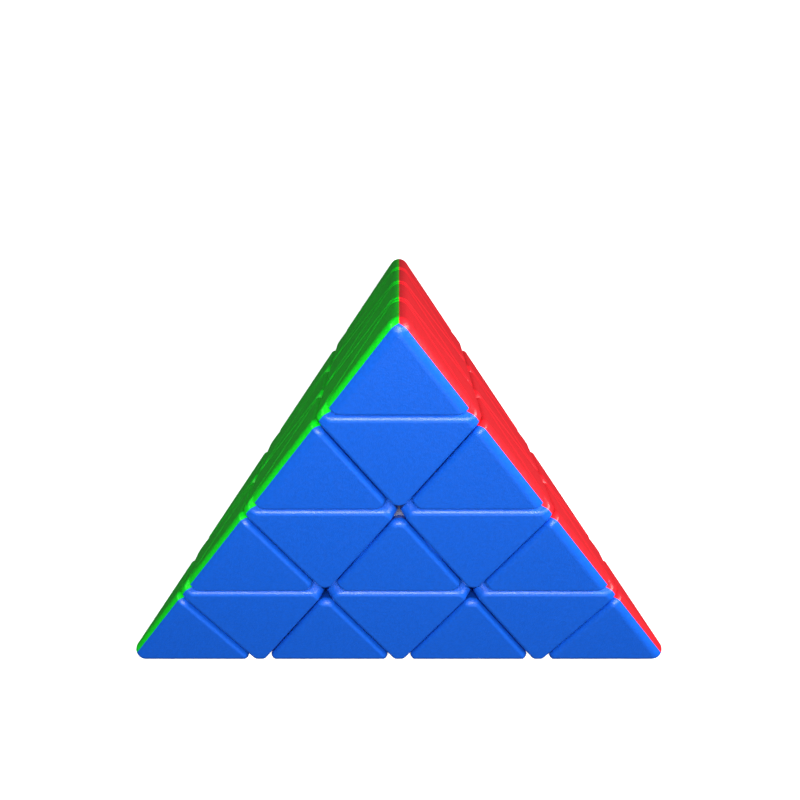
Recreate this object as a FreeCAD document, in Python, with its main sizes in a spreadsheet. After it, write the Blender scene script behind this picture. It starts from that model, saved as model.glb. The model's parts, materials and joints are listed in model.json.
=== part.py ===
import FreeCAD, Part
import itertools
import math
import os

# A pyramid twisty puzzle: a regular tetrahedron cut in four layers from each corner.
# It stands on its yellow face, origin at that face's centre, +Z up, blue face towards -Y.
#
# Every turn is about the line from the solid's centre to a corner. "Depth" along a corner's
# axis is measured from the centre. The faces lie at depth -layer, and the cuts at depth 0
# (deep), layer (corner) and 2 x layer (tip). Inside, the pieces are separated only by planes
# square to the axes and by spheres about the centre, so each cut stays free for every turn.

SIZES = [
    ("edge_length", 113.0, "edge of the sharp tetrahedron"),
    ("edge_round", 2.06, "radius along the outer edges"),
    ("corner_round", 1.9, "radius of a cap's corners, seen square to its face"),
    ("rim_round", 0.95, "radius of the rims along the cuts"),
    ("cut_gap", 0.3, "gap between two turning layers"),
    ("shell_gap", 0.2, "radial gap between the inner shells"),
    ("wall", 1.8, "wall of a coloured cap"),
    ("cutter", 400.0, "size of the blocks that cut the cells"),
    ("ball_radius", 13.8, "core ball"),
    ("foot_inner", 14.1, "inside of the feet"),
    ("foot_outer", 16.8, "outside of the feet"),
    ("flange_outer", 20.6, "outside of the hub flanges"),
    ("wing_foot_outer", 23.2, "outside of the wing feet"),
    ("throat_outer", 25.4, "outside of the wing throats"),
    ("foot_reach", 1.8, "how far feet and flanges run under their neighbours"),
    ("wing_reach", 2.5, "how far a wing foot runs under its neighbours"),
    ("wing_foot_depth", 18.6, "corner cut at the wing feet"),
    ("throat_depth", 21.2, "corner cut at the wing throats"),
    ("centre_cap_depth", 3.0, "thickness of a face centre's cap"),
    ("thread_radius", 1.45, "main screw thread"),
    ("screw_bore", 1.7, "clearance bore for the main screw"),
    ("screw_start", 6.0, "depth where the screw's thread ends in the core"),
    ("screw_head_radius", 2.9, "main screw head"),
    ("screw_head_height", 2.2, "main screw head"),
    ("screw_slot_length", 8.0, "cutter for the slot, longer than the head is wide"),
    ("screw_slot_width", 0.8, "slot in the screw head"),
    ("screw_slot_depth", 1.0, "slot in the screw head"),
    ("sleeve_radius", 2.8, "hub sleeve on the main screw"),
    ("sleeve_rise", 2.0, "how far the sleeve stands out past the feet"),
    ("neck_radius", 4.2, "neck of a corner carrier"),
    ("neck_start", 20.9, "depth where the carrier neck begins"),
    ("carrier_radius", 7.0, "body of a corner carrier"),
    ("well_radius", 4.3, "well in the carrier for spring and screw head"),
    ("well_floor", 30.6, "depth of the well's floor"),
    ("spring_radius", 2.4, "spring, to the middle of the wire"),
    ("spring_wire", 0.3, "spring wire radius"),
    ("spring_pitch", 1.15, "spring pitch"),
    ("spring_height", 4.6, "spring height between wire centres"),
    ("end_play", 0.1, "play at each end of the spring"),
    ("washer_radius", 3.7, "washer"),
    ("washer_height", 0.6, "washer"),
    ("stem_radius", 4.0, "tip stem"),
    ("stem_collar_radius", 4.15, "snap collar of the tip stem"),
    ("stem_start", 40.4, "depth where the tip stem begins"),
    ("stem_collar_height", 1.2, "snap collar of the tip stem"),
    ("stem_rise", 3.0, "how far the stem stands out of the tip's floor"),
]

# How near a point lies to a surface that it is on, and the sine of the flattest sharp edge.
TOUCH = 1e-4
SHARP = 0.1
WIRE_SIDES = 8

doc = FreeCAD.newDocument("pyramid_twisty_puzzle")
sheet = doc.addObject("Spreadsheet::Sheet", "Sizes")
for row, (alias, value, meaning) in enumerate(SIZES, start=1):
    sheet.set(f"A{row}", meaning)
    sheet.set(f"B{row}", str(value))
    sheet.setAlias(f"B{row}", alias)
doc.recompute()


def size(alias):
    return float(sheet.get(alias))


LAYER = size("edge_length") / math.sqrt(24.0)
CENTRE = FreeCAD.Vector(0, 0, LAYER)
HALF_GAP = size("cut_gap") / 2
THIRD = math.sqrt(8.0) / 3

AXES = {
    "top": FreeCAD.Vector(0, 0, 1),
    "left": FreeCAD.Vector(-THIRD * math.sqrt(0.75), -THIRD / 2, -1 / 3),
    "right": FreeCAD.Vector(THIRD * math.sqrt(0.75), -THIRD / 2, -1 / 3),
    "back": FreeCAD.Vector(0, THIRD, -1 / 3),
}
# Each face is named by the corner opposite to it.
COLOURS = {"back": "blue", "right": "green", "left": "red", "top": "yellow"}


# ---------------------------------------------------------------- sums of sizes

# A length or a depth is given as a tuple of terms to add up, each an alias or a plain number.


def written(terms):
    """A sum as an expression for the document."""
    return " + ".join(f"Sizes.{term}" if isinstance(term, str) else str(term) for term in terms)


def value_of(terms):
    return sum(size(term) if isinstance(term, str) else term for term in terms)


MIDDLE = (0.0,)
PAST_THE_TIP = ("edge_length",)
STEM_END = (2 * LAYER, HALF_GAP, "wall", "stem_rise")
SPRING_START = ("well_floor", "end_play", "spring_wire")
WASHER_START = (*SPRING_START, "spring_height", "spring_wire", "end_play")
HEAD_START = (*WASHER_START, "washer_height")
HEAD_END = (*HEAD_START, "screw_head_height")


# ---------------------------------------------------------------- placing and cutting


def turn_to(corner, face):
    """The turn about the centre that takes the top corner and the blue face to these."""
    home = FreeCAD.Rotation(AXES["back"], FreeCAD.Vector(), AXES["top"], "ZXY")
    there = FreeCAD.Rotation(AXES[face], FreeCAD.Vector(), AXES[corner], "ZXY")
    return FreeCAD.Placement(FreeCAD.Vector(), there * home.inverted(), CENTRE)


def along_axis(corner):
    """A placement with its origin at the centre and its Z along a corner's axis."""
    spare = next(name for name in AXES if name != corner)
    turn = FreeCAD.Rotation(AXES[spare], FreeCAD.Vector(), AXES[corner], "ZXY")
    return FreeCAD.Placement(CENTRE, turn)


blocks = {}
cut_planes = {}


def block(direction, depth, far_side):
    """A block that fills everything beyond (or short of) a plane square to a direction."""
    key = (*[round(number, 6) for number in (*direction, depth)], far_side)
    if key not in blocks:
        box = doc.addObject("Part::Box", "Block")
        for side in ("Length", "Width", "Height"):
            box.setExpression(side, "Sizes.cutter")
        turn = FreeCAD.Rotation(FreeCAD.Vector(0, 0, 1), direction)
        half = size("cutter") / 2
        start = depth if far_side else depth - size("cutter")
        corner = CENTRE + turn.multVec(FreeCAD.Vector(-half, -half, start))
        box.Placement = FreeCAD.Placement(corner, turn)
        blocks[key] = box
        cut_planes[box.Name] = (FreeCAD.Vector(direction), depth)
    return blocks[key]


def beyond(axis, depth):
    return block(AXES[axis], depth, True)


def short_of(axis, depth):
    return block(AXES[axis], depth, False)


def colour_side(face, others):
    """Blocks for the share of a piece that is nearer to one face than to the others."""
    return [block((AXES[other] - AXES[face]).normalize(), 0, True) for other in others]


def common(label, shapes):
    feature = doc.addObject("Part::MultiCommon", label)
    feature.Shapes = shapes
    return feature


def fuse(label, shapes):
    feature = doc.addObject("Part::MultiFuse", label)
    feature.Shapes = shapes
    feature.Refine = True
    return feature


def cut(label, base, tool):
    feature = doc.addObject("Part::Cut", label)
    feature.Base = base
    feature.Tool = tool
    return feature


def sphere(label, *radius):
    """A ball about the centre."""
    ball = doc.addObject("Part::Sphere", label)
    ball.setExpression("Radius", written(radius))
    ball.Placement = FreeCAD.Placement(CENTRE, FreeCAD.Rotation())
    return ball


def cylinder(label, radius, start, end, corner="top"):
    """A cylinder between two depths along a corner's axis."""
    rod = doc.addObject("Part::Cylinder", label)
    rod.setExpression("Radius", f"Sizes.{radius}")
    rod.setExpression("Height", f"({written(end)}) - ({written(start)})")
    foot = FreeCAD.Placement(FreeCAD.Vector(0, 0, value_of(start)), FreeCAD.Rotation())
    rod.Placement = along_axis(corner).multiply(foot)
    return rod


# ---------------------------------------------------------------- inner shells

# Each inner shell has its own outer radius, its own depth for the deep cut and, where the
# corner groups reach down to it, its own depth for the corner cut.
SHELLS = [
    ("foot_inner", "foot_outer", -size("foot_reach"), None),
    ("foot_outer", "flange_outer", size("foot_reach"), None),
    ("flange_outer", "wing_foot_outer", -size("wing_reach"), size("wing_foot_depth")),
    ("wing_foot_outer", "throat_outer", 0.0, size("throat_depth")),
    ("throat_outer", None, 0.0, LAYER),
]
FOOT, FLANGE, WING_FOOT, THROAT, SKIN = range(5)


def rounded_tetrahedron():
    sharp = common("SharpTetrahedron", [beyond(axis, -LAYER) for axis in AXES])
    doc.recompute()
    every_edge = range(1, len(sharp.Shape.Edges) + 1)
    return fillet("RoundedTetrahedron", sharp, every_edge, "edge_round")


def shell_between(label, inner, outer):
    """What lies inside the outer faces, between two spheres or outside the inner one."""
    outside = rounded
    if outer:
        outside = common(f"{label}Outside", [rounded, sphere(f"{label}Ball", *outer)])
    return cut(label, outside, sphere(f"{label}Inside", *inner))


def make_shells():
    """The five shells, and the thin gaps between them, each with the cuts that hold in it."""
    shells = []
    for number, (inner, outer, deep, corner) in enumerate(SHELLS):
        start = (inner,) if number == 0 else (inner, "shell_gap")
        end = (outer,) if outer else None
        shells.append((shell_between(f"Shell{number}", start, end), [(deep, corner)]))
    gaps = []
    for number, (_, edge, deep, corner) in enumerate(SHELLS[:-1]):
        solid = shell_between(f"Gap{number}", (edge,), (edge, "shell_gap"))
        gaps.append((solid, [(deep, corner), SHELLS[number + 1][2:]]))
    return shells, gaps


def cell_blocks(inside, outside, corner, levels):
    """The blocks that bound a piece in one shell.

    inside: the corners whose half of the puzzle holds the piece, outside: the others,
    corner: the corner group that holds it, if any.
    """
    deepest = max(deep for deep, _ in levels) + HALF_GAP
    lowest = min(deep for deep, _ in levels) - HALF_GAP
    corner_levels = [depth for _, depth in levels if depth is not None]
    bounds = [short_of(axis, lowest) for axis in outside]
    for axis in inside:
        if axis == corner:
            bounds.append(beyond(axis, max(corner_levels) + HALF_GAP))
            continue
        bounds.append(beyond(axis, deepest))
        if corner_levels:
            bounds.append(short_of(axis, min(corner_levels) - HALF_GAP))
    return bounds


def layer_stack(first, last):
    """The shells from first to last with the gaps between them, from the inside out.

    Each comes with its place in the order: a whole number for a shell, a half for a gap.
    """
    layers = []
    for number in range(first, last + 1):
        layers.append((number, *shells[number]))
        if number < last:
            layers.append((number + 0.5, *gaps[number]))
    return layers


def piece(label, inside, outside, corner, first, wedge, wedge_from):
    """A piece from its first shell out to the skin, whole through the gaps between them.

    wedge: the outer shape with its rounded corners and rims, which holds from wedge_from on.
    """
    solids = []
    for place, solid, levels in layer_stack(first, SKIN):
        bounds = cell_blocks(inside, outside, corner, levels)
        if place >= wedge_from:
            bounds.append(wedge)
        solids.append(common(f"{label}Layer{len(solids)}", [solid, *bounds]))
    return fuse(label, solids)


def rounded_wedge(label, sides, pairs):
    """What the side blocks leave of the solid, its corners and its rims rounded.

    pairs: the pairs of side blocks that meet in a corner away from the outer edges.
    """
    rough = common(f"{label}Rough", [rounded, *sides])
    doc.recompute()
    corners = [edge for pair in pairs for edge in shared_edges(rough.Shape, pair)]
    if corners:
        rough = fillet(f"{label}Corners", rough, corners, "corner_round")
        doc.recompute()
    return fillet(f"{label}Rims", rough, rim_edges(rough.Shape), "rim_round")


def shared_edges(shape, pair):
    """The numbers of the edges that lie on the cutting planes of both blocks."""
    found = []
    for number, edge in enumerate(shape.Edges, start=1):
        first, last = edge.ParameterRange
        points = [edge.valueAt(first), edge.valueAt((first + last) / 2), edge.valueAt(last)]
        if all(on_cut(side, point) for side in pair for point in points):
            found.append(number)
    return found


def on_cut(side, point):
    axis, depth = cut_planes[side.Name]
    return abs((point - CENTRE).dot(axis) - depth) < TOUCH


def rim_edges(shape):
    """The numbers of the sharp edges that lie on the outer faces."""
    skin = rounded.Shape.Shells[0]
    found = []
    for number, edge in enumerate(shape.Edges, start=1):
        middle = edge.valueAt((edge.FirstParameter + edge.LastParameter) / 2)
        if skin.distToShape(Part.Vertex(middle))[0] > TOUCH:
            continue
        normals = []
        for face in shape.ancestorsOfType(edge, Part.Face):
            normals.append(face.normalAt(*face.Surface.parameter(middle)))
        if normals[0].cross(normals[-1]).Length > SHARP:
            found.append(number)
    return found


def fillet(label, base, edges, radius_alias):
    feature = doc.addObject("Part::Fillet", label)
    feature.Base = base
    radius = size(radius_alias)
    feature.Edges = [(number, radius, radius) for number in edges]
    return feature


# ---------------------------------------------------------------- masters of the caps


def hollow(label, outer, cavity):
    return cut(label, outer, common(f"{label}Cavity", cavity))


def face_walls(faces):
    return [beyond(face, -LAYER + size("wall")) for face in faces]


def tip_master():
    """One coloured third of a corner tip, with the hole for its stem."""
    faces = ("left", "right", "back")
    start = 2 * LAYER + HALF_GAP
    outer = rounded_wedge("Tip", [beyond("top", start)], [])
    body = hollow("TipHollow", outer, [beyond("top", start + size("wall")), *face_walls(faces)])
    hole = cylinder("TipHole", "stem_radius", ("well_floor",), STEM_END)
    bored = cut("TipBored", body, hole)
    cap_side = colour_side("back", ("left", "right"))
    return common("TipThird", [bored, *cap_side])


def corner_master():
    """One coloured third of a corner piece, around its carrier."""
    faces = ("left", "right", "back")
    inset = HALF_GAP + size("wall")
    sides = [short_of(face, -HALF_GAP) for face in faces]
    end = short_of("top", 2 * LAYER - HALF_GAP)
    wedge = rounded_wedge("Corner", [*sides, end], list(itertools.combinations(sides, 2)))
    outer = piece("CornerOuter", ["top"], faces, "top", THROAT, wedge, THROAT)
    cavity = [beyond("top", LAYER + inset), short_of("top", 2 * LAYER - inset), *face_walls(faces)]
    cavity += [short_of(face, -inset) for face in faces]
    body = hollow("CornerHollow", outer, cavity)
    bore = cylinder("CornerBore", "carrier_radius", MIDDLE, PAST_THE_TIP)
    bored = cut("CornerBored", body, bore)
    return common("CornerThird", [bored, *colour_side("back", ("left", "right"))])


def wing_masters():
    """The two halves of the wing near the top on the edge to the left: blue, and green.

    The blue half carries the wing's foot.
    """
    inset = HALF_GAP + size("wall")
    inside = ("top", "left")
    faces = ("right", "back")
    pair = (beyond("top", LAYER + HALF_GAP), beyond("left", HALF_GAP))
    wedge = rounded_wedge("Wing", pair, [pair])
    outer = piece("WingOuter", inside, faces, "top", THROAT, wedge, SKIN)
    cavity = [beyond("top", LAYER + inset), beyond("left", inset), *face_walls(faces)]
    cavity += [short_of(face, -inset) for face in faces]
    body = hollow("WingHollow", outer, cavity)
    blue_half = common("WingBlueHalf", [body, *colour_side("back", ("right",))])
    green_half = common("WingGreenHalf", [body, *colour_side("right", ("back",))])
    foot = inner_foot("WingFoot", inside, faces, "top", WING_FOOT)
    return fuse("WingWithFoot", [blue_half, foot]), green_half


def inner_foot(label, inside, outside, corner, first):
    """The inner part of a piece, from its first shell out to where the throat begins."""
    solids = []
    for _, solid, levels in layer_stack(first, THROAT)[:-1]:
        bounds = cell_blocks(inside, outside, corner, levels)
        solids.append(common(f"{label}Layer{len(solids)}", [solid, *bounds]))
    return fuse(label, solids)


def edge_master():
    """The blue half of the middle edge piece between the top and left corners."""
    inset = HALF_GAP + size("wall")
    inside = ("top", "left")
    faces = ("right", "back")
    ends = [short_of(axis, LAYER - HALF_GAP) for axis in inside]
    flanks = [short_of(face, -HALF_GAP) for face in faces]
    wedge = rounded_wedge("Edge", [*ends, *flanks], list(itertools.product(ends, flanks)))
    block_out = common("EdgeWhole", [wedge, *[beyond(axis, HALF_GAP) for axis in inside]])
    outer = cut("EdgeOuter", block_out, fuse("EdgeUnder", edge_clearances(inside)))
    cavity = [beyond(axis, inset) for axis in inside]
    cavity += [short_of(axis, LAYER - inset) for axis in inside]
    cavity += [short_of(face, -inset) for face in faces]
    cavity += face_walls(faces)
    body = hollow("EdgeHollow", outer, cavity)
    return common("EdgeHalf", [body, *colour_side("back", ("right",))])


def edge_clearances(inside):
    """What a middle edge piece's caps leave free below them: its feet and the wing throats."""
    clearances = [sphere("EdgeInside", "wing_foot_outer", "shell_gap")]
    for axis in inside:
        ball = sphere(f"EdgeThroat_{axis}", "throat_outer", "shell_gap")
        outer_end = beyond(axis, size("throat_depth") - HALF_GAP)
        clearances.append(common(f"EdgeRelief_{axis}", [ball, outer_end]))
    return clearances


def centre_masters():
    """The blue face centre: its cap, and the foot behind it."""
    inside = ("top", "left", "right")
    sides = [beyond(axis, HALF_GAP) for axis in inside]
    wedge = rounded_wedge("Centre", sides, list(itertools.combinations(sides, 2)))
    whole = piece("CentreWhole", inside, ("back",), None, FOOT, wedge, THROAT)
    split = -LAYER + size("centre_cap_depth")
    cap = common("CentreCap", [whole, short_of("back", split)])
    foot = common("CentreFoot", [whole, beyond("back", split)])
    return cap, foot


def hub_master():
    """A hub: a flange over the feet, on a sleeve round the main screw."""
    solid, levels = shells[FLANGE]
    bounds = cell_blocks(["top"], ("left", "right", "back"), None, levels)
    flange = common("HubFlange", [solid, *bounds])
    sleeve = cylinder("HubSleeve", "sleeve_radius", ("foot_inner",), ("foot_outer", "sleeve_rise"))
    bore = cylinder("HubBore", "screw_bore", MIDDLE, PAST_THE_TIP)
    return cut("Hub", fuse("HubSolid", [flange, sleeve]), bore)


def carrier_master():
    """The round carrier of a corner piece, with its neck, its bore and its well."""
    neck = cylinder("CarrierNeck", "neck_radius", ("neck_start",), ("well_floor",))
    barrel = cylinder("CarrierBarrel", "carrier_radius", ("neck_start",), (2 * LAYER, -HALF_GAP))
    plate = cut("CarrierPlate", barrel, sphere("CarrierUnder", "wing_foot_outer", "shell_gap"))
    bore = cylinder("CarrierBore", "screw_bore", MIDDLE, PAST_THE_TIP)
    well = cylinder("CarrierWell", "well_radius", ("well_floor",), PAST_THE_TIP)
    return cut("Carrier", fuse("CarrierSolid", [neck, plate]), fuse("CarrierHoles", [bore, well]))


# ---------------------------------------------------------------- round parts


def core_master():
    """The core ball, threaded on the four axes."""
    ball = sphere("CoreBall", "ball_radius")
    start, end = ("screw_start",), ("foot_inner",)
    threads = [cylinder(f"CoreThread_{corner}", "thread_radius", start, end, corner) for corner in AXES]
    return cut("Core", ball, fuse("CoreThreads", threads))


def screw_master():
    shank = cylinder("ScrewShank", "thread_radius", ("screw_start",), HEAD_START)
    head = cylinder("ScrewHead", "screw_head_radius", HEAD_START, HEAD_END)
    slot = doc.addObject("Part::Box", "ScrewSlot")
    slot.setExpression("Length", "Sizes.screw_slot_length")
    slot.setExpression("Width", "Sizes.screw_slot_width")
    slot.setExpression("Height", "Sizes.screw_slot_depth")
    corner = FreeCAD.Vector(
        -size("screw_slot_length") / 2,
        -size("screw_slot_width") / 2,
        value_of(HEAD_END) - size("screw_slot_depth"),
    )
    slot.Placement = along_axis("top").multiply(FreeCAD.Placement(corner, FreeCAD.Rotation()))
    return cut("Screw", fuse("ScrewSolid", [shank, head]), slot)


def spring_master():
    helix = doc.addObject("Part::Helix", "SpringLine")
    helix.setExpression("Radius", "Sizes.spring_radius")
    helix.setExpression("Pitch", "Sizes.spring_pitch")
    helix.setExpression("Height", "Sizes.spring_height")
    wire = doc.addObject("Part::RegularPolygon", "SpringWire")
    wire.Polygon = WIRE_SIDES
    wire.setExpression("Circumradius", "Sizes.spring_wire")
    upright = FreeCAD.Rotation(FreeCAD.Vector(1, 0, 0), 90)
    wire.Placement = FreeCAD.Placement(FreeCAD.Vector(size("spring_radius"), 0, 0), upright)
    coil = doc.addObject("Part::Sweep", "Spring")
    coil.Sections = [wire]
    coil.Spine = (helix, [])
    coil.Solid = True
    coil.Frenet = True
    lift = FreeCAD.Placement(FreeCAD.Vector(0, 0, value_of(SPRING_START)), FreeCAD.Rotation())
    coil.Placement = along_axis("top").multiply(lift)
    return coil


def washer_master():
    disc = cylinder("WasherDisc", "washer_radius", WASHER_START, HEAD_START)
    hole = cylinder("WasherHole", "screw_bore", MIDDLE, PAST_THE_TIP)
    return cut("Washer", disc, hole)


def stem_master():
    """The stem that snaps a tip into the well of its corner."""
    rod = cylinder("StemRod", "stem_radius", ("stem_start",), STEM_END)
    collar_end = ("stem_start", "stem_collar_height")
    collar = cylinder("StemCollar", "stem_collar_radius", ("stem_start",), collar_end)
    return fuse("Stem", [rod, collar])


# ---------------------------------------------------------------- the assembly

nodes = {}


def add_node(label, copies):
    """One named node: each copy is a master and the placement that it is used at."""
    links = []
    for master, placement in copies:
        link = doc.addObject("App::Link", "Copy")
        link.LinkedObject = master
        link.Placement = placement.multiply(master.Placement)
        links.append(link)
    node = doc.addObject("Part::Compound", label)
    node.Label = label
    node.Links = links
    nodes[label] = node


rounded = rounded_tetrahedron()
shells, gaps = make_shells()
tip = tip_master()
corner_cap = corner_master()
wing_near, wing_far = wing_masters()
edge = edge_master()
edge_foot = inner_foot("EdgeFoot", ("top", "left"), ("right", "back"), None, FOOT)
centre_cap, centre_foot = centre_masters()
hub = hub_master()
carrier = carrier_master()
core = core_master()
screw = screw_master()
spring = spring_master()
washer = washer_master()
stem = stem_master()
doc.recompute()


def partner_of(corner, face):
    """The corner where this turn takes the left corner, and where it takes the right one."""
    turned = turn_to(corner, face).Rotation
    found = {}
    for start in ("left", "right"):
        direction = turned.multVec(AXES[start])
        found[start] = min(AXES, key=lambda name: (AXES[name] - direction).Length)
    return found


def wing_halves(corner, face):
    """The two wing halves of one colour at a corner, by the corner that each points to."""
    found = partner_of(corner, face)
    place = turn_to(corner, face)
    green_to_blue = turn_to("top", "right").inverse()
    return {found["left"]: (wing_near, place), found["right"]: (wing_far, place.multiply(green_to_blue))}


for corner in AXES:
    for face in AXES:
        if face == corner:
            continue
        colour = COLOURS[face]
        place = turn_to(corner, face)
        add_node(f"{corner}_tip_{colour}", [(tip, place)])
        halves = wing_halves(corner, face)
        held = [(corner_cap, place)]
        for partner, copy in halves.items():
            if corner != "top" and partner == "top":
                add_node(f"{corner}_wing_{colour}", [copy])
            else:
                held.append(copy)
        add_node(f"{corner}_corner_{colour}", held)
    other = next(name for name in AXES if name != corner)
    axis_place = turn_to(corner, other)
    add_node(f"{corner}_tip_stem", [(stem, axis_place)])
    add_node(f"{corner}_corner_carrier", [(carrier, axis_place)])


def edge_copies(upper, face):
    """The halves of one colour of the middle edge pieces in the upper or the lower half."""
    copies = []
    for corner in AXES:
        if corner == face:
            continue
        partner = partner_of(corner, face)["left"]
        if ("top" in (corner, partner)) == upper:
            copies.append((edge, turn_to(corner, face)))
    return copies


def edge_feet(upper):
    seen = {}
    for corner in AXES:
        for face in AXES:
            if face != corner:
                pair = tuple(sorted((corner, partner_of(corner, face)["left"])))
                if ("top" in pair) == upper:
                    seen.setdefault(pair, (edge_foot, turn_to(corner, face)))
    return list(seen.values())


def centre_copy(master, face):
    corner = next(name for name in AXES if name != face)
    return (master, turn_to(corner, face))


SIDES = ("left", "right", "back")
for face in SIDES:
    add_node(f"upper_edges_{COLOURS[face]}", edge_copies(True, face))
    add_node(f"{COLOURS[face]}_centre", [centre_copy(centre_cap, face)])
for face in AXES:
    add_node(f"base_edges_{COLOURS[face]}", edge_copies(False, face))
add_node("yellow_centre", [centre_copy(centre_cap, "top")])
add_node("upper_edge_feet", edge_feet(True))
add_node("base_edge_feet", edge_feet(False))
add_node("upper_centre_feet", [centre_copy(centre_foot, face) for face in SIDES])
add_node("base_centre_foot", [centre_copy(centre_foot, "top")])
add_node("top_hub", [(hub, turn_to("top", "back"))])
add_node("base_hubs", [(hub, turn_to(corner, "top")) for corner in SIDES])
add_node("core", [(core, FreeCAD.Placement())])


def on_every_axis(master):
    return [(master, turn_to(corner, next(name for name in AXES if name != corner))) for corner in AXES]


add_node("main_screws", on_every_axis(screw))
add_node("springs", on_every_axis(spring))
add_node("washers", on_every_axis(washer))
doc.recompute()


# ---------------------------------------------------------------- checks and export

for item in doc.Objects:
    if "Invalid" in item.State or "Error" in item.State:
        raise RuntimeError(f"{item.Label} did not build: {item.State}")
os.makedirs("parts", exist_ok=True)
for label, node in nodes.items():
    shape = node.Shape
    if shape.isNull() or not shape.isValid() or not shape.Solids:
        raise RuntimeError(f"{label} has no valid solid")
    if len(shape.Solids) != len(node.Links):
        raise RuntimeError(f"{label} has {len(shape.Solids)} solids for {len(node.Links)} pieces")
    shape.exportStep(f"parts/{label}.step")
print(f"{len(nodes)} nodes, {sum(len(node.Shape.Solids) for node in nodes.values())} solids")
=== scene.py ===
import json
import math

import bpy
from mathutils import Matrix, Vector


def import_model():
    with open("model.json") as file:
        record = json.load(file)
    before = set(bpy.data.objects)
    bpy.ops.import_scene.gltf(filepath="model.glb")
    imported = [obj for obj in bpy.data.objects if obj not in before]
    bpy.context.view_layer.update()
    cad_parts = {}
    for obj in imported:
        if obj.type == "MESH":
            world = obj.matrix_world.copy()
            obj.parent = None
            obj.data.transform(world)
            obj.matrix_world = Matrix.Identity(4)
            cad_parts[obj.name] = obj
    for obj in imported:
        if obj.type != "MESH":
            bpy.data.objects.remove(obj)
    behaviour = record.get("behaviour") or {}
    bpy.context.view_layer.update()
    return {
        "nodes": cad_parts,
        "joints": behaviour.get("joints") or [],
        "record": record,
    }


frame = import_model()

# Every turn of the puzzle is about its centre, so any joint gives the centre, and the centre's
# height gives the edge of the sharp tetrahedron. Camera, lights and floor are scaled by the edge.
CENTRE = Vector(frame["joints"][0]["pos_m"])
EDGE = CENTRE.z * math.sqrt(24)

# The camera's place from the centre, in edges: back along its line of sight, and up in its frame.
CAMERA_ELEVATION = math.radians(65.58)
CAMERA_DISTANCE = 2.4254
CAMERA_RISE = 0.1322
CAMERA_LENS = 62.03
CAMERA_SENSOR = 36.0
CAMERA_SHIFT = 0.0013
NEAREST_SEEN = 0.1
FARTHEST_SEEN = 100

FLOOR_REACH = 30
FLOOR_ROUGHNESS = 0.9
FLOOR_GLOW = 0.6
WORLD_STRENGTH = 0.04

# The middle of a noise's values, where nearly all of them lie.
NOISE_LOW = 0.3
NOISE_HIGH = 0.7

BLUE = (0.006, 0.118, 0.700)
GREEN = (0.003, 0.800, 0.016)
RED = (0.860, 0.016, 0.026)
YELLOW = (0.900, 0.620, 0.010)
INNER_GREY = (0.120, 0.125, 0.210)
INNER_DARK = (0.012, 0.013, 0.025)
STEEL = (0.560, 0.570, 0.580)
FLOOR_WHITE = (0.93, 0.93, 0.93)
WHITE = (1, 1, 1, 1)

ABS_IOR = 1.53
CAP_ROUGHNESS = (0.30, 0.42)
INNER_ROUGHNESS = (0.42, 0.58)
STEEL_ROUGHNESS = (0.22, 0.42)


# ---------------------------------------------------------------- materials

# A noise's scale is per metre, and a bump's distance is in metres.


def new_material(name):
    """A material with its node tree, its Principled shader and its object coordinates."""
    material = bpy.data.materials.new(name)
    material.use_nodes = True
    tree = material.node_tree
    shader = tree.nodes["Principled BSDF"]
    place = tree.nodes.new("ShaderNodeTexCoord").outputs["Object"]
    return material, tree, shader, place


def noise(tree, place, scale, detail=2.0):
    node = tree.nodes.new("ShaderNodeTexNoise")
    node.inputs["Scale"].default_value = scale
    node.inputs["Detail"].default_value = detail
    tree.links.new(place, node.inputs["Vector"])
    return node.outputs["Fac"]


def spread(tree, value, low, high):
    """Maps the middle of a noise to a range."""
    node = tree.nodes.new("ShaderNodeMapRange")
    node.inputs["From Min"].default_value = NOISE_LOW
    node.inputs["From Max"].default_value = NOISE_HIGH
    node.inputs["To Min"].default_value = low
    node.inputs["To Max"].default_value = high
    tree.links.new(value, node.inputs["Value"])
    return node.outputs["Result"]


def tinted(tree, shader, colour, cloud, depth):
    """A colour that drifts a little darker and lighter with a noise."""
    mix = tree.nodes.new("ShaderNodeMix")
    mix.data_type = "RGBA"
    mix.inputs["A"].default_value = (*[channel * (1 - depth) for channel in colour], 1)
    mix.inputs["B"].default_value = (*[min(1.0, channel * (1 + depth)) for channel in colour], 1)
    tree.links.new(spread(tree, cloud, 0.0, 1.0), mix.inputs["Factor"])
    tree.links.new(mix.outputs["Result"], shader.inputs["Base Color"])


def uneven_gloss(tree, shader, cloud, roughness):
    """A roughness that drifts over its range with a noise."""
    tree.links.new(spread(tree, cloud, *roughness), shader.inputs["Roughness"])


def grain(tree, shader, place, fine, coarse, strength, distance):
    """Two sizes of grain, as the bump of a surface."""
    total = tree.nodes.new("ShaderNodeMath")
    total.operation = "ADD"
    tree.links.new(noise(tree, place, fine), total.inputs[0])
    tree.links.new(noise(tree, place, coarse), total.inputs[1])
    bump = tree.nodes.new("ShaderNodeBump")
    bump.inputs["Strength"].default_value = strength
    bump.inputs["Distance"].default_value = distance
    tree.links.new(total.outputs["Value"], bump.inputs["Height"])
    tree.links.new(bump.outputs["Normal"], shader.inputs["Normal"])


def plastic(name, colour, roughness=CAP_ROUGHNESS):
    """Moulded ABS: a fine spark-eroded grain, with slight drifts of tone and gloss."""
    material, tree, shader, place = new_material(name)
    tinted(tree, shader, colour, noise(tree, place, scale=1500.0, detail=4.0), depth=0.07)
    uneven_gloss(tree, shader, noise(tree, place, scale=900.0), roughness)
    grain(tree, shader, place, fine=5200.0, coarse=1900.0, strength=0.5, distance=0.00008)
    shader.inputs["IOR"].default_value = ABS_IOR
    return material


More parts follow.
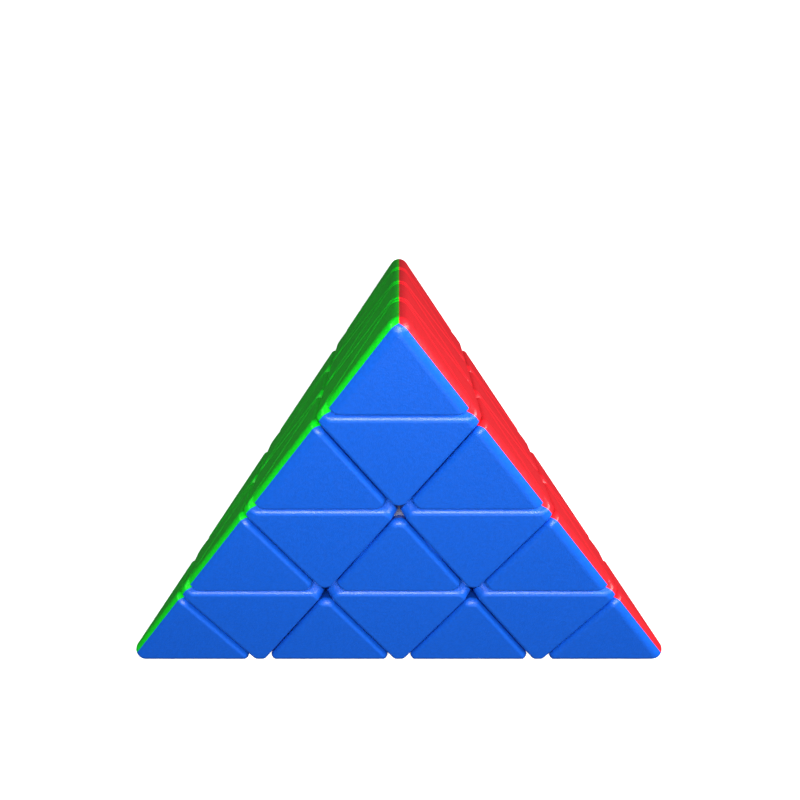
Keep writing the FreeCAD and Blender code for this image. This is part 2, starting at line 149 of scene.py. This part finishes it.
def steel(name):
    """Zinc-plated steel, faintly mottled."""
    material, tree, shader, place = new_material(name)
    tinted(tree, shader, STEEL, noise(tree, place, scale=700.0), depth=0.08)
    uneven_gloss(tree, shader, noise(tree, place, scale=2600.0), STEEL_ROUGHNESS)
    grain(tree, shader, place, fine=9000.0, coarse=3000.0, strength=0.15, distance=0.00002)
    shader.inputs["Metallic"].default_value = 1.0
    return material


def make_materials():
    """One material for each slot of the record."""
    return {
        "shell_blue": plastic("abs_blue", BLUE),
        "shell_green": plastic("abs_green", GREEN),
        "shell_red": plastic("abs_red", RED),
        "shell_yellow": plastic("abs_yellow", YELLOW),
        "inner_plastic": plastic("abs_inner_grey", INNER_GREY, INNER_ROUGHNESS),
        "inner_plastic_dark": plastic("abs_core", INNER_DARK, INNER_ROUGHNESS),
        "steel": steel("zinc_steel"),
    }


def finish_nodes():
    """Gives each CAD node the material of its slot."""
    materials = make_materials()
    slots = {part["node"]: part["material_slot"] for part in frame["record"]["subparts"]}
    for name, node in frame["nodes"].items():
        material = materials[slots[name]]
        if node.material_slots:
            for slot in node.material_slots:
                slot.material = material
        else:
            node.data.materials.append(material)


# ---------------------------------------------------------------- floor, lights, camera


def floor():
    """A wide white floor that the puzzle stands on."""
    reach = FLOOR_REACH * EDGE
    mesh = bpy.data.meshes.new("floor")
    corners = [(-reach, -reach, 0), (reach, -reach, 0), (reach, reach, 0), (-reach, reach, 0)]
    mesh.from_pydata(corners, [], [(0, 1, 2, 3)])
    ground = bpy.data.objects.new("floor", mesh)
    bpy.context.scene.collection.objects.link(ground)
    material, tree, shader, place = new_material("floor_white")
    tinted(tree, shader, FLOOR_WHITE, noise(tree, place, scale=8.0), depth=0.01)
    shader.inputs["Roughness"].default_value = FLOOR_ROUGHNESS
    shader.inputs["Emission Color"].default_value = WHITE
    shader.inputs["Emission Strength"].default_value = FLOOR_GLOW
    mesh.materials.append(material)
    # The floor neither mirrors in the plastic nor throws light back on it, so that the faces
    # seen at a flat angle keep their full colour.
    ground.visible_glossy = False
    ground.visible_diffuse = False


def area_light(name, azimuth, elevation, distance, width, power):
    """A square soft light that looks at the puzzle. Azimuth 0 stands at -Y and 90 at +X.

    Angles are in degrees, distance and width in edges, power in watts a square edge.
    """
    lamp = bpy.data.lights.new(name, "AREA")
    lamp.shape = "SQUARE"
    lamp.size = width * EDGE
    lamp.energy = power * EDGE * EDGE
    a, e = math.radians(azimuth), math.radians(elevation)
    away = Vector((math.sin(a) * math.cos(e), -math.cos(a) * math.cos(e), math.sin(e)))
    holder = bpy.data.objects.new(name, lamp)
    holder.location = CENTRE + away * distance * EDGE
    holder.rotation_mode = "QUATERNION"
    holder.rotation_quaternion = away.to_track_quat("Z", "Y")
    bpy.context.scene.collection.objects.link(holder)


def lights():
    """The key stands behind the camera, so its shadows are hidden. The others light the sides."""
    area_light("key", azimuth=0, elevation=66, distance=3.2, width=1.6, power=122)
    area_light("right_side", azimuth=95, elevation=34, distance=4.0, width=2.0, power=215)
    area_light("left_back", azimuth=-110, elevation=32, distance=4.0, width=1.6, power=26)
    area_light("front_low", azimuth=10, elevation=6, distance=3.0, width=1.4, power=10)


def world():
    """A dim surround, so that reflections stay dark."""
    surround = bpy.data.worlds.new("studio")
    bpy.context.scene.world = surround
    surround.use_nodes = True
    background = surround.node_tree.nodes["Background"]
    background.inputs["Color"].default_value = WHITE
    background.inputs["Strength"].default_value = WORLD_STRENGTH


def camera():
    """The camera, which looks down on the blue face."""
    back = Vector((0, -math.cos(CAMERA_ELEVATION), math.sin(CAMERA_ELEVATION)))
    up = Vector((0, math.sin(CAMERA_ELEVATION), math.cos(CAMERA_ELEVATION)))
    right = Vector((1, 0, 0))
    lens = bpy.data.cameras.new("camera")
    lens.lens = CAMERA_LENS
    lens.sensor_width = CAMERA_SENSOR
    lens.shift_x = CAMERA_SHIFT
    lens.clip_start = NEAREST_SEEN * EDGE
    lens.clip_end = FARTHEST_SEEN * EDGE
    holder = bpy.data.objects.new("camera", lens)
    holder.location = CENTRE + (back * CAMERA_DISTANCE + up * CAMERA_RISE) * EDGE
    holder.rotation_mode = "QUATERNION"
    holder.rotation_quaternion = Matrix((right, up, back)).transposed().to_quaternion()
    bpy.context.scene.collection.objects.link(holder)
    bpy.context.scene.camera = holder


finish_nodes()
floor()
lights()
world()
camera()
# The plain transform keeps the moulded colours as saturated as they are.
bpy.context.scene.view_settings.view_transform = "Standard"
